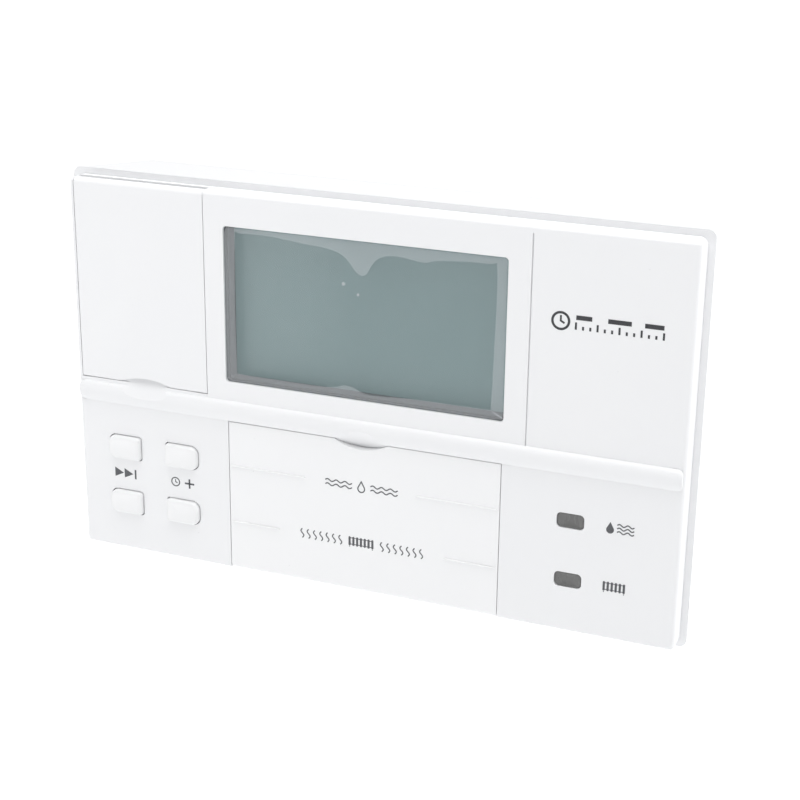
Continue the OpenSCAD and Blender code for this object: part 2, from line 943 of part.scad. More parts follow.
module earth_terminal() {
    color(brass)
    difference() {
        block(50, 60, 8, 16, 22, plate_d[0]);
        bar_z(55, 25.6, 7, 17, 1.8);
        rod(55, 12, 1.6, 21, 25);
    }
}

module cable_clamp() {
    color([0.88, 0.88, 0.87])
    difference() {
        soft_cable_bar();
        for (s = [-1, 1])
            rod(s * clamp_x, clamp_z, 1.8, 18, 24);
    }
}

// Bar with an arch over the cable
module soft_cable_bar() {
    difference() {
        block(-clamp_x - 3.5, clamp_x + 3.5, clamp_z - 3, clamp_z + 3, 20.6, 22.9);
        bar_z(0, 25.2, clamp_z - 4, clamp_z + 4, 3.6);
    }
}

module cable_clamp_screws() {
    color(steel)
    for (s = [-1, 1]) {
        difference() {
            rod(s * clamp_x, clamp_z, 2.8, 19, 20.6);
            block(s * clamp_x - 3, s * clamp_x + 3, clamp_z - 0.4, clamp_z + 0.4, 18, 19.7);
        }
        rod(s * clamp_x, clamp_z, 1.25, 20.5, 27);
    }
}

// Captive screws that come up through the bottom of the casing into the wallplate
module lock_screws() {
    color(steel)
    for (s = [-1, 1])
        difference() {
            union() {
                bar_z(s * lock_x, lock_d, lock_seat - 1.5, lock_seat, lock_head_r);
                bar_z(s * lock_x, lock_d, lock_seat - 0.1, -35, lock_shank_r);
            }
            block(s * lock_x - 4, s * lock_x + 4, lock_seat - 3, lock_seat - 0.8,
                  lock_d - 0.4, lock_d + 0.4);
        }
}

front_cover();
rear_casing();
programming_door();
selector_flap();
display_lens();
protective_film();
lcd_frame();
lcd_glass();
zebra_strips();
button_water_advance();
button_water_extend();
button_heating_advance();
button_heating_extend();
key_up();
key_down();
key_next();
key_copy();
mode_slider();
water_selector();
heating_selector();
indicator_windows();
indicator_leds();
front_board();
front_switches();
key_switches();
mode_switch();
selector_switches();
processor();
crystal();
board_link();
main_board();
relays();
dropper_capacitor();
smoothing_capacitors();
surge_varistor();
fuse_link();
backup_cell();
cell_clip();
plug_blades();
casing_screws();
wallplate();
terminal_block();
terminal_clamps();
terminal_screws();
earth_terminal();
cable_clamp();
cable_clamp_screws();
lock_screws();
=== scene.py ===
"""White two-channel heating programmer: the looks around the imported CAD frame."""

import json
import math

import bmesh
import bpy
from mathutils import Matrix, Vector


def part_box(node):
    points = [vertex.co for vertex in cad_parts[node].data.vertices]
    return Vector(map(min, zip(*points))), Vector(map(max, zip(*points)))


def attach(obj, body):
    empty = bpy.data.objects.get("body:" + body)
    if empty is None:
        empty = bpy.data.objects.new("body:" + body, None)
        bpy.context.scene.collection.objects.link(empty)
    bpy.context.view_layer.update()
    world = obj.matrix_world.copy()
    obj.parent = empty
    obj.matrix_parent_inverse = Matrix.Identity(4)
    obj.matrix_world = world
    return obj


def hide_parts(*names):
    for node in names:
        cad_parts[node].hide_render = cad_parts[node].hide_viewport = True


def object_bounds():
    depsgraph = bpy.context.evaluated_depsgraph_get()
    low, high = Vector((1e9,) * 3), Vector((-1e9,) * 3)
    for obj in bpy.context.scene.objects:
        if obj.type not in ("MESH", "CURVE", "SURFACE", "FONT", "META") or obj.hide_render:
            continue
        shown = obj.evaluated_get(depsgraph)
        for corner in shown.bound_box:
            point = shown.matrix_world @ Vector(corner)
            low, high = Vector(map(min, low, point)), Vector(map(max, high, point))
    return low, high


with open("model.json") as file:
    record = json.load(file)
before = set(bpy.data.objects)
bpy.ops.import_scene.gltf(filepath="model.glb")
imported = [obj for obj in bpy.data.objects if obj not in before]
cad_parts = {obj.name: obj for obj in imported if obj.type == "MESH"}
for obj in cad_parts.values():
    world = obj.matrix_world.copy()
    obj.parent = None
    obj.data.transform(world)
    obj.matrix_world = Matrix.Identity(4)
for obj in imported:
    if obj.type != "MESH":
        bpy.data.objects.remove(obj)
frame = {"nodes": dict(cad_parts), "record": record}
cad_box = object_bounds()

MM = 0.001

# Depth in mm of the front panel's plane, which is the upper-left door's front
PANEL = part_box("programming_door")[0][1] / MM

# ---------------------------------------------------------------- camera and light


# The camera's place in metres, the ways it looks and leans, and its lens in mm
CAMERA_PLACE = Vector((0.135766, -0.345128, 0.121598))
CAMERA_FORWARD = Vector((-0.353008, 0.875300, -0.330507))
CAMERA_RIGHT = Vector((0.925769, 0.377898, 0.012012))
CAMERA_LENS = 76.24

# The sky's colour and strength, and each softbox's name, place and size in metres, and watts
SKY = (0.985, 0.99, 1.0, 1)
SKY_STRENGTH = 0.42
SOFTBOXES = (
    ("overhead_softbox", (0.10, -0.10, 0.80), (0.9, 0.7), 7.0),
    ("upper_left_softbox", (-0.30, -0.50, 0.70), (0.5, 0.4), 0.6),
    ("right_softbox", (0.70, 0.15, 0.15), (0.5, 0.5), 2.0),
    ("low_left_softbox", (-0.40, -0.42, -0.13), (0.4, 0.1), 0.30),
)


def make_camera():
    """A camera in front of the programmer, to its right and above it."""
    forward = CAMERA_FORWARD.normalized()
    right = CAMERA_RIGHT.normalized()
    up = right.cross(forward).normalized()
    data = bpy.data.cameras.new("camera")
    data.lens = CAMERA_LENS
    data.clip_start = 0.01
    camera = bpy.data.objects.new("camera", data)
    rotation = Matrix((right, up, -forward)).transposed().to_4x4()
    camera.matrix_world = Matrix.Translation(CAMERA_PLACE) @ rotation
    bpy.context.collection.objects.link(camera)
    bpy.context.scene.camera = camera


def area_light(name, place, size, watts):
    """A softbox that faces the middle of the programmer."""
    data = bpy.data.lights.new(name, "AREA")
    data.shape = "RECTANGLE"
    data.size, data.size_y = size
    data.energy = watts
    lamp = bpy.data.objects.new(name, data)
    lamp.location = place
    lamp.rotation_euler = (-Vector(place)).to_track_quat("-Z", "Y").to_euler()
    bpy.context.collection.objects.link(lamp)


def make_light():
    """A pale sky all round and four softboxes."""
    world = bpy.data.worlds.new("studio")
    world.use_nodes = True
    sky = world.node_tree.nodes["Background"]
    sky.inputs["Color"].default_value = SKY
    sky.inputs["Strength"].default_value = SKY_STRENGTH
    bpy.context.scene.world = world
    for softbox in SOFTBOXES:
        area_light(*softbox)
    view = bpy.context.scene.view_settings
    view.view_transform = "Standard"
    view.look = "None"


make_camera()
make_light()

# ---------------------------------------------------------------- materials


class Paint:
    """A procedural material: one Principled shader and the textures that feed it."""

    def __init__(self, name):
        self.material = bpy.data.materials.new(name)
        self.material.use_nodes = True
        tree = self.material.node_tree
        self.nodes, self.links = tree.nodes, tree.links
        self.shader = self.nodes["Principled BSDF"]
        self.coords = self.nodes.new("ShaderNodeTexCoord").outputs["Object"]

    def set(self, **values):
        for name, value in values.items():
            self.shader.inputs[name.replace("_", " ")].default_value = value
        return self

    def join(self, output, name):
        self.links.new(output, self.shader.inputs[name])

    def stretched(self, scale):
        """Object coordinates stretched along an axis, for brushed or woven looks."""
        node = self.nodes.new("ShaderNodeMapping")
        node.inputs["Scale"].default_value = scale
        self.links.new(self.coords, node.inputs["Vector"])
        return node.outputs["Vector"]

    def noise(self, size_mm, detail=3.0, rough=0.5, coords=None):
        """Noise whose blotches are about size_mm across."""
        node = self.nodes.new("ShaderNodeTexNoise")
        node.inputs["Scale"].default_value = 1 / (size_mm * MM)
        node.inputs["Detail"].default_value = detail
        node.inputs["Roughness"].default_value = rough
        self.links.new(coords or self.coords, node.inputs["Vector"])
        return node.outputs["Fac"]

    def cells(self, size_mm, feature="F1", randomness=1.0):
        node = self.nodes.new("ShaderNodeTexVoronoi")
        node.feature = feature
        node.inputs["Scale"].default_value = 1 / (size_mm * MM)
        node.inputs["Randomness"].default_value = randomness
        self.links.new(self.coords, node.inputs["Vector"])
        return node.outputs["Distance"]

    def remap(self, value, low, high, start=0.3, end=0.7):
        node = self.nodes.new("ShaderNodeMapRange")
        for name, number in (("From Min", start), ("From Max", end), ("To Min", low), ("To Max", high)):
            node.inputs[name].default_value = number
        self.links.new(value, node.inputs["Value"])
        return node.outputs["Result"]

    def blend(self, factor, first, second):
        """Mixes two colours, each a triple or another node's output."""
        node = self.nodes.new("ShaderNodeMix")
        node.data_type = "RGBA"
        for colour, name in ((first, "A"), (second, "B")):
            entry = next(i for i in node.inputs if i.name == name and i.type == "RGBA")
            if isinstance(colour, tuple):
                entry.default_value = (*colour, 1)
            else:
                self.links.new(colour, entry)
        self.links.new(factor, node.inputs[0])
        return next(o for o in node.outputs if o.type == "RGBA")

    def bump(self, height, strength, distance_mm, normal=None):
        node = self.nodes.new("ShaderNodeBump")
        node.inputs["Strength"].default_value = strength
        node.inputs["Distance"].default_value = distance_mm * MM
        self.links.new(height, node.inputs["Height"])
        if normal:
            self.links.new(normal, node.inputs["Normal"])
        self.join(node.outputs["Normal"], "Normal")
        return node.outputs["Normal"]


def moulded(name, colour, shade, rough=(0.36, 0.46), grain_mm=0.11, relief=0.10, sink=0.10):
    """Moulded plastic: spark-eroded grain, colour drift, uneven gloss, faint sink marks and specks."""
    paint = Paint(name)
    drift = paint.blend(paint.remap(paint.noise(36, 4), 0, 1), colour, shade)
    speck = paint.remap(paint.cells(5.5), 1, 0, 0.012, 0.03)
    dull = tuple(c * 0.86 for c in colour)
    paint.join(paint.blend(speck, drift, dull), "Base Color")
    scuff = paint.noise(2.2, 6, 0.62, paint.stretched((1, 1, 0.25)))
    paint.join(paint.remap(scuff, *rough), "Roughness")
    fine = paint.bump(paint.noise(grain_mm, 2), relief, 0.02)
    paint.bump(paint.noise(18, 1), sink, 0.25, fine)
    return paint.material


def metal(name, colour, rough=(0.22, 0.38), stretch=(1, 1, 12)):
    """Plated metal with fine drawn lines and faint tarnish."""
    paint = Paint(name).set(Metallic=1.0)
    tarnish = tuple(c * 0.78 for c in colour)
    paint.join(paint.blend(paint.remap(paint.noise(2.5, 4), 0, 1), colour, tarnish), "Base Color")
    lines = paint.noise(0.7, 3, 0.6, paint.stretched(stretch))
    paint.join(paint.remap(lines, *rough), "Roughness")
    paint.bump(lines, 0.15, 0.02)
    return paint.material


def circuit_board(name):
    """Green solder mask over copper tracks, with a fine weave under it."""
    paint = Paint(name).set(Coat_Weight=0.4, Coat_Roughness=0.15)
    tracks = paint.remap(paint.cells(2.6, "DISTANCE_TO_EDGE", 0.35), 1, 0, 0.05, 0.09)
    mask = paint.blend(tracks, (0.020, 0.115, 0.045), (0.035, 0.20, 0.075))
    pads = paint.remap(paint.cells(3.1, "F1", 0.2), 1, 0, 0.11, 0.13)
    paint.join(paint.blend(pads, mask, (0.62, 0.60, 0.56)), "Base Color")
    paint.join(paint.remap(paint.noise(1.2, 4), 0.3, 0.42), "Roughness")
    paint.bump(tracks, 0.3, 0.03)
    return paint.material


def clear_plastic(name, veil, alpha, rough):
    """Clear plastic seen as a thin veil over what lies behind it."""
    paint = Paint(name).set(Alpha=alpha, IOR=1.45)
    milky = tuple(v * 0.96 for v in veil)
    paint.join(paint.blend(paint.remap(paint.noise(9, 3), 0, 1), veil, milky), "Base Color")
    paint.join(paint.remap(paint.noise(1.6, 5, 0.6), *rough), "Roughness")
    paint.bump(paint.noise(14, 2), 0.06, 0.1)
    return paint.material


def display_glass(name):
    """Grey-green liquid crystal behind its polariser: slow blotches, a fine reflector grain, and a
    steady glow that is painted light, evening out the shade near the frame.
    """
    paint = Paint(name).set(Coat_Weight=0.25, Coat_Roughness=0.12)
    # Painted light: a steady glow, though the display has no backlight, that lightens the shade near its
    # frame and edges
    paint.set(Emission_Color=(0.090, 0.125, 0.128, 1), Emission_Strength=1)
    slow = paint.remap(paint.noise(11, 2), 0, 1)
    tone = paint.blend(slow, (0.050, 0.098, 0.100), (0.056, 0.104, 0.106))
    grain = paint.remap(paint.noise(0.28, 3, 0.7), 0, 0.06)
    paint.join(paint.blend(grain, tone, (0.044, 0.088, 0.090)), "Base Color")
    paint.join(paint.remap(paint.noise(0.35, 2), 0.42, 0.55), "Roughness")
    paint.bump(paint.noise(9, 2), 0.02, 0.01)
    return paint.material


def printed_ink(name, colour):
    """Pad-printed ink, slightly thin in random patches."""
    paint = Paint(name)
    thin = tuple(min(1, c * 1.35 + 0.01) for c in colour)
    paint.join(paint.blend(paint.remap(paint.noise(0.35, 3), 0, 1), colour, thin), "Base Color")
    paint.join(paint.remap(paint.noise(0.8, 2), 0.45, 0.6), "Roughness")
    return paint.material


white_shell = moulded("white_shell", (0.852, 0.856, 0.868), (0.862, 0.865, 0.874))
white_flap = moulded("white_flap", (0.885, 0.888, 0.896), (0.895, 0.897, 0.902))
white_button = moulded("white_button", (0.86, 0.865, 0.872), (0.875, 0.877, 0.88), rough=(0.28, 0.36))
wallplate_white = moulded("wallplate_white", (0.78, 0.78, 0.76), (0.80, 0.80, 0.785), rough=(0.42, 0.55))
grey_holder = moulded("grey_holder", (0.075, 0.080, 0.085), (0.085, 0.090, 0.095), rough=(0.4, 0.55))
black_plastic = moulded("black_plastic", (0.022, 0.022, 0.024), (0.030, 0.030, 0.032),
                        rough=(0.38, 0.52))
smoked = moulded("smoked_plastic", (0.135, 0.135, 0.133), (0.155, 0.155, 0.152),
                 rough=(0.22, 0.34), relief=0.03)
relay_blue = moulded("relay_blue", (0.045, 0.14, 0.36), (0.055, 0.16, 0.40), rough=(0.22, 0.32))
film_yellow = moulded("film_yellow", (0.66, 0.50, 0.06), (0.72, 0.55, 0.08), rough=(0.18, 0.28))
sleeve_navy = moulded("sleeve_navy", (0.030, 0.032, 0.10), (0.036, 0.038, 0.12), rough=(0.22, 0.30))
lacquer_blue = moulded("lacquer_blue", (0.06, 0.18, 0.42), (0.075, 0.21, 0.47), rough=(0.15, 0.25))
fuse_brown = moulded("fuse_brown", (0.16, 0.06, 0.03), (0.20, 0.075, 0.04), rough=(0.2, 0.3))
lamp_red = moulded("lamp_red", (0.38, 0.045, 0.035), (0.44, 0.06, 0.045), rough=(0.12, 0.2))
elastomer = moulded("elastomer", (0.62, 0.44, 0.46), (0.66, 0.50, 0.51), rough=(0.5, 0.65))
steel = metal("plated_steel", (0.66, 0.66, 0.68))
brass = metal("plain_brass", (0.72, 0.53, 0.25))
board_green = circuit_board("solder_mask")
lens_clear = clear_plastic("lens_clear", (0.60, 0.66, 0.68), 0.06, (0.08, 0.14))
# Painted shade: the lens's side faces get a dark opaque colour, standing in for the dark inside that
# shows through the clear edge
lens_side_painted_shade = moulded("lens_side_painted_shade", (0.10, 0.105, 0.11), (0.12, 0.125, 0.13),
                    rough=(0.4, 0.55), relief=0.03)
film_clear = clear_plastic("film_clear", (0.72, 0.78, 0.80), 0.03, (0.16, 0.24))
# Painted reflection: the lifted margin and the bubbles get pale, half-opaque veils for the light that
# their air gaps reflect
lifted_film_painted_reflection = clear_plastic("lifted_film_painted_reflection", (0.80, 0.82, 0.85), 0.22, (0.22, 0.34))
bubble_painted_reflection = clear_plastic("bubble_painted_reflection", (0.72, 0.76, 0.77), 0.42, (0.3, 0.4))
display_grey = display_glass("display_grey")
ink_grey = printed_ink("ink_grey", (0.075, 0.078, 0.085))
ink_dark = printed_ink("ink_dark", (0.028, 0.029, 0.033))

SLOT_MATERIALS = {
    "white_shell": white_shell, "white_button": white_button, "clear_lens": lens_clear,
    "clear_film": film_clear, "grey_holder": grey_holder, "lcd": display_grey, "elastomer": elastomer,
    "smoked_window": smoked, "lamp_red": lamp_red, "board": board_green, "black_plastic": black_plastic,
    "steel": steel, "brass": brass, "relay_blue": relay_blue, "capacitor_yellow": film_yellow,
    "capacitor_sleeve": sleeve_navy, "varistor_blue": lacquer_blue, "fuse_brown": fuse_brown,
    "wallplate_plastic": wallplate_white,
}
slot_of = {s["node"]: s["material_slot"] for s in frame["record"]["subparts"]}
body_of = {node: body for body, nodes in frame["record"]["behaviour"]["bodies"].items()
           for node in nodes}

for node, obj in frame["nodes"].items():
    for place in obj.material_slots:
        place.material = SLOT_MATERIALS[slot_of[node]]

# ---------------------------------------------------------------- meshes


def make_object(name, bm, materials, angle=40):
    """Puts a mesh in the scene, smooth except at sharp edges, with flat faces that stay flat."""
    bmesh.ops.recalc_face_normals(bm, faces=bm.faces)
    mesh = bpy.data.meshes.new(name)
    bm.to_mesh(mesh)
    bm.free()
    mesh.shade_smooth()
    mesh.set_sharp_from_angle(angle=math.radians(angle))
    for material in materials:
        mesh.materials.append(material)
    obj = bpy.data.objects.new(name, mesh)
    bpy.context.collection.objects.link(obj)
    weighted = obj.modifiers.new("flat faces", "WEIGHTED_NORMAL")
    weighted.weight = 90
    weighted.keep_sharp = True
    return obj


def stand_for(piece, *nodes):
    """Lets a piece ride on, and take the place of, the CAD nodes it was made for."""
    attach(piece, body_of[nodes[0]])
    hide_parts(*nodes)


def tighten(bm, grow, hinge_side):
    """Widens a door by grow at its sides and its free edge, while its hinge edge stays where it is."""
    xs = [v.co.x for v in bm.verts]
    zs = [v.co.z for v in bm.verts]
    middle = (min(xs) + max(xs)) / 2
    fixed = max(zs) if hinge_side > 0 else min(zs)
    wider = 1 + 2 * grow * MM / (max(xs) - min(xs))
    taller = 1 + grow * MM / (max(zs) - min(zs))
    for v in bm.verts:
        v.co.x = middle + (v.co.x - middle) * wider
        v.co.z = fixed + (v.co.z - fixed) * taller


def rounded(node, radius, steps=2, angle=30, material=None, grow=0, hinge_side=1):
    """A stand-in for a CAD node in whole faces, with its outer edges rounded."""
    bm = bmesh.new()
    bm.from_mesh(frame["nodes"][node].data)
    bmesh.ops.remove_doubles(bm, verts=bm.verts, dist=0.002 * MM)
    if grow:
        tighten(bm, grow, hinge_side)
    bmesh.ops.dissolve_limit(bm, angle_limit=math.radians(0.4), verts=bm.verts, edges=bm.edges)
    outer = [e for e in bm.edges
             if len(e.link_faces) == 2 and e.is_convex and e.calc_face_angle(0) > math.radians(angle)]
    bmesh.ops.bevel(bm, geom=outer, offset=radius * MM, offset_type="OFFSET", segments=steps,
                    profile=0.5, affect="EDGES", clamp_overlap=False)
    piece = make_object(node + "_skin", bm, [material or SLOT_MATERIALS[slot_of[node]]])
    stand_for(piece, node)


def corner_loop(half_w, half_h, radii, inset, steps=8):
    """Points round a rectangle seen from the front; radii run from the upper right anticlockwise."""
    points = []
    signs = ((1, 1), (-1, 1), (-1, -1), (1, -1))
    for quarter, ((sx, sz), radius) in enumerate(zip(signs, radii)):
        r = max(radius - inset, 0.02)
        cx, cz = sx * (half_w - inset - r), sz * (half_h - inset - r)
        for k in range(steps + 1):
            a = math.pi / 2 * (quarter + k / steps)
            points.append((cx + r * math.cos(a), cz + r * math.sin(a)))
    return points


def circle(r, steps):
    return [(r * math.cos(math.tau * k / steps), r * math.sin(math.tau * k / steps))
            for k in range(steps)]


def add_loop(bm, centre, points, depth):
    """New points round centre, at a depth behind the front panel, all in mm."""
    x, z = centre
    return [bm.verts.new(((x + px) * MM, (PANEL + depth) * MM, (z + pz) * MM)) for px, pz in points]


def bridge(bm, first, second, material=0):
    """A band of faces between two loops."""
    count = len(first)
    for i in range(count):
        j = (i + 1) % count
        bm.faces.new((first[i], first[j], second[j], second[i])).material_index = material


def add_cap(bm, centre, half_w, half_h, radii, front, back, edge, dome=0.0, steps=5, side=0):
    """A closed cap: a slightly domed front, a round front edge and straight sides of material side."""
    x, z = centre
    rim = corner_loop(half_w, half_h, radii, edge)
    rings = []
    for share in (0.3, 0.6, 0.85):
        points = [(px * share, pz * share) for px, pz in rim]
        rings.append(add_loop(bm, centre, points, front - dome * (1 - share ** 2)))
    for k in range(steps + 1):
        a = math.pi / 2 * k / steps
        points = corner_loop(half_w, half_h, radii, edge * (1 - math.sin(a)))
        rings.append(add_loop(bm, centre, points, front + edge * (1 - math.cos(a))))
    rings.append(add_loop(bm, centre, corner_loop(half_w, half_h, radii, 0), back))
    middle = bm.verts.new((x * MM, (PANEL + front - dome) * MM, z * MM))
    first = rings[0]
    for i in range(len(first)):
        bm.faces.new((middle, first[i], first[(i + 1) % len(first)]))
    for a, b in zip(rings[:-1], rings[1:-1]):
        bridge(bm, a, b)
    bridge(bm, rings[-2], rings[-1], side)
    bm.faces.new(rings[-1])


def add_rod(bm, centre, radius, front, back, steps=24):
    """A round stem along the depth, with a small chamfer at both ends."""
    chamfer = min(0.15, radius / 4)
    rings = []
    for r, d in ((radius - chamfer, front), (radius, front + chamfer),
                 (radius, back - chamfer), (radius - chamfer, back)):
        rings.append(add_loop(bm, centre, circle(r, steps), d))
    for a, b in zip(rings, rings[1:]):
        bridge(bm, a, b)
    bm.faces.new(rings[0])
    bm.faces.new(rings[-1])


def middle_of(node):
    """A node's middle along x and z, in mm."""
    low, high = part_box(node)
    return (low[0] + high[0]) / 2 / MM, (low[2] + high[2]) / 2 / MM


def node_place(node):
    """Centre, half width and half height, front depth and back depth of a node, in mm."""
    low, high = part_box(node)
    half = ((high[0] - low[0]) / 2 / MM, (high[2] - low[2]) / 2 / MM)
    return middle_of(node), half, low[1] / MM - PANEL, high[1] / MM - PANEL


# ---------------------------------------------------------------- the white mouldings

# How much the doors' skins narrow the seams round them, at each edge
SEAM_GROW = 0.07

rounded("front_cover", radius=0.10)
rounded("rear_casing", radius=0.12)
rounded("programming_door", radius=0.12, grow=SEAM_GROW)
rounded("selector_flap", radius=0.16, material=white_flap, grow=SEAM_GROW, hinge_side=-1)
for node in ("wallplate", "terminal_block", "cable_clamp", "lcd_frame"):
    rounded(node, radius=0.12)

# ---------------------------------------------------------------- buttons, keys and sliders

# How far a button's or key's flange stands out behind the panel, and the radius of its stem
FLANGE = 0.8
STEM_R = 1.2
BUTTON_DOME = 0.14
BUTTON_EDGE = 0.8
BUTTON_FLANGE_D = (2.06, 3.05)
KEY_DOME = 0.06
KEY_EDGE = 0.3
KEY_FLANGE_D = (4.66, 5.5)
# How far a cap's top reaches into its flange
LAP = 0.24


def make_cap(node, radii, dome, edge, flange_d, flange_r, stem_front):
    """A pressed cap: its domed top, the flange that holds it in, and the stem to its switch."""
    centre, (half_w, half_h), front, back = node_place(node)
    bm = bmesh.new()
    add_cap(bm, centre, half_w - FLANGE, half_h - FLANGE, radii, front + dome, flange_d[0] + LAP,
            edge, dome=dome)
    add_cap(bm, centre, half_w, half_h, (flange_r,) * 4, *flange_d, 0.1)
    add_rod(bm, centre, STEM_R, stem_front, back)
    stand_for(make_object(node + "_cap", bm, [white_button]), node)


def make_button(node, outer_side):
    """Push button: its two outer corners are rounder than the two inner ones."""
    big, small = 1.9, 0.85
    radii = (small, big, big, small) if outer_side < 0 else (big, small, small, big)
    make_cap(node, radii, BUTTON_DOME, BUTTON_EDGE, BUTTON_FLANGE_D, flange_r=0.5, stem_front=3.0)


for channel in ("water", "heating"):
    make_button(f"button_{channel}_advance", -1)
    make_button(f"button_{channel}_extend", 1)


KEYS = ("key_up", "key_down", "key_next", "key_copy")
for node in KEYS:
    make_cap(node, (0.6,) * 4, KEY_DOME, KEY_EDGE, KEY_FLANGE_D, flange_r=0.4, stem_front=5.4)


# A slide knob's half width and half height, for its head, its ribs, its stem and its guide plate
HEAD_HALF = (2.2, 2.6)
RIB_HALF = (0.3, 1.8)
STEM_HALF = (1.2, 1.1)
GUIDE_HALF = (1.2, 2.1)
# How far behind the knob's front its head and its ribs begin, and the ribs' spacing
HEAD_DROP = 0.22
RIB_DROP = 0.12
MIDDLE_RIB_DROP = 0.02
RIB_DEEP = 0.5
RIB_PITCH = 1.1
# Depths of the head's back, the stem's front and the guide plate, behind the panel
HEAD_BACK = 3.5
STEM_FRONT = 3.4
GUIDE_D = (4.7, 5.2)


def make_slider(node):
    """Slide knob with three grip ribs, the middle one a little higher."""
    centre, _, front, back = node_place(node)
    bm = bmesh.new()
    add_cap(bm, centre, *HEAD_HALF, (0.6,) * 4, front + HEAD_DROP, HEAD_BACK, 0.25)
    for offset in (-RIB_PITCH, 0, RIB_PITCH):
        top = front + (RIB_DROP if offset else MIDDLE_RIB_DROP)
        rib = (centre[0] + offset, centre[1])
        add_cap(bm, rib, *RIB_HALF, (0.15,) * 4, top, front + RIB_DEEP, 0.1)
    add_cap(bm, centre, *STEM_HALF, (0.1,) * 4, STEM_FRONT, back, 0.1)
    add_cap(bm, centre, *GUIDE_HALF, (0.2,) * 4, *GUIDE_D, 0.1)
    stand_for(make_object(node + "_knob", bm, [white_button]), node)


SLIDERS = ("mode_slider", "water_selector", "heating_selector")
for node in SLIDERS:
    make_slider(node)

# ---------------------------------------------------------------- display

WINDOW, WINDOW_HALF, LENS_FRONT, LENS_BACK = node_place("display_lens")


def smooth_loop(points, steps=6):
    """A closed Catmull-Rom curve through given points."""
    result = []
    count = len(points)
    for i in range(count):
        p0, p1, p2, p3 = (Vector(points[(i + k - 1) % count]) for k in range(4))
        for k in range(steps):
            t = k / steps
            result.append(0.5 * (2 * p1 + (p2 - p0) * t + (2 * p0 - 5 * p1 + 4 * p2 - p3) * t ** 2
                                 + (3 * p1 - p0 - 3 * p2 + p3) * t ** 3))
    return [(p.x, p.y) for p in result]


def make_lens():
    """Clear window whose straight side faces carry painted shade: a dark opaque colour for the dark
    inside seen through them.
    """
    bm = bmesh.new()
    add_cap(bm, WINDOW, *WINDOW_HALF, (0.75,) * 4, LENS_FRONT, LENS_BACK, 0.15, side=1)
    stand_for(make_object("lens", bm, [lens_clear, lens_side_painted_shade]), "display_lens")


# Where the film still sticks to the lens: a loop round the window, in mm from the casing's middle
STUCK = [
    (-30.2, 33.8), (-28.7, 34.85), (-21.1, 34.9), (-14.0, 34.2), (-7.6, 33.6), (-4.6, 32.4),
    (-3.1, 30.9), (-1.7, 29.2), (-0.5, 28.75), (0.6, 29.2), (1.8, 31.2), (3.2, 32.8),
    (6.1, 33.7), (9.0, 33.6), (13.6, 33.1), (17.0, 33.9), (27.6, 34.4), (29.4, 33.2),
    (29.3, 18.0), (28.9, 4.0),
    (28.3, 3.2), (13.2, 3.1), (4.0, 2.6), (0.6, 2.6), (-1.8, 3.5), (-4.1, 4.0),
    (-6.6, 3.3), (-10.0, 2.9), (-20.0, 2.9), (-29.6, 3.1), (-30.3, 4.4), (-30.5, 18.0),
]
# Trapped bubbles: place and radius, and the share of the radius that their flat top has
BUBBLES = [(-4.7, 26.5, 0.42), (-1.3, 24.5, 0.34)]
BUBBLE_TOP = 0.7
# Where the lifted margin is highest, as a share of its width from the stuck edge
CREST = 0.35
# How far the film's outer edge is behind that crest, and how far the stuck film and a bubble's
# foot and top are in front of the film's back
OUTER_DROP = 0.03
STUCK_GAP = 0.01
BUBBLE_RISE = (0.02, 0.06)


def make_film():
    """Protective film: a stuck middle, and a lifted margin whose pale veil is painted reflection; the
    bubbles' pale veils are painted reflection too.
    """
    _, half, front, back = node_place("protective_film")
    x0, z0 = WINDOW
    local = [(x - x0, z - z0) for x, z in smooth_loop(STUCK)]
    outer = []
    for dx, dz in local:
        reach = min(half[0] / max(abs(dx), 1e-6), half[1] / max(abs(dz), 1e-6))
        outer.append((dx * reach, dz * reach))
    bm = bmesh.new()
    edge = add_loop(bm, WINDOW, outer, front + OUTER_DROP)
    ridge = [(a[0] * CREST + b[0] * (1 - CREST), a[1] * CREST + b[1] * (1 - CREST))
             for a, b in zip(outer, local)]
    crest = add_loop(bm, WINDOW, ridge, front)
    stuck = add_loop(bm, WINDOW, local, back - STUCK_GAP)
    bridge(bm, edge, crest, 1)
    bridge(bm, crest, stuck, 1)
    bm.faces.new(stuck).material_index = 0
    for bx, bz, r in BUBBLES:
        ring = circle(r, 12)
        narrow = [(px * BUBBLE_TOP, pz * BUBBLE_TOP) for px, pz in ring]
        low = add_loop(bm, (bx, bz), ring, back - BUBBLE_RISE[0])
        top = add_loop(bm, (bx, bz), narrow, back - BUBBLE_RISE[1])
        bridge(bm, low, top, 2)
        bm.faces.new(top).material_index = 2
    piece = make_object("film", bm, [film_clear, lifted_film_painted_reflection, bubble_painted_reflection])
    stand_for(piece, "protective_film")


# Thickness of the display cell's front plate, the gap behind it, and how far the plate's upper
# and lower edges are inside the rear plate's
PLATE_T = 1.1
PLATE_GAP = 0.02
PLATE_INSET = 0.4


def make_display():
    """Liquid crystal cell: two glass plates, the rear one a little taller."""
    centre, (half_w, half_h), front, back = node_place("lcd_glass")
    rear = front + PLATE_T + PLATE_GAP
    bm = bmesh.new()
    add_cap(bm, centre, half_w, half_h - PLATE_INSET, (0.2,) * 4, front, front + PLATE_T, 0.08)
    add_cap(bm, centre, half_w, half_h, (0.2,) * 4, rear, back, 0.08)
    stand_for(make_object("display_cell", bm, [display_grey]), "lcd_glass")


make_lens()
make_film()
make_display()

# ---------------------------------------------------------------- indicators


# An indicator window's half width and half height, and its depths, for its face and its flange
LAMP_HALF = (2.95, 1.65)
LAMP_D = (0.3, 2.1)
LAMP_FLANGE_HALF = (3.8, 2.5)
LAMP_FLANGE_D = (2.02, 2.6)
LAMP_DISH = 0.25


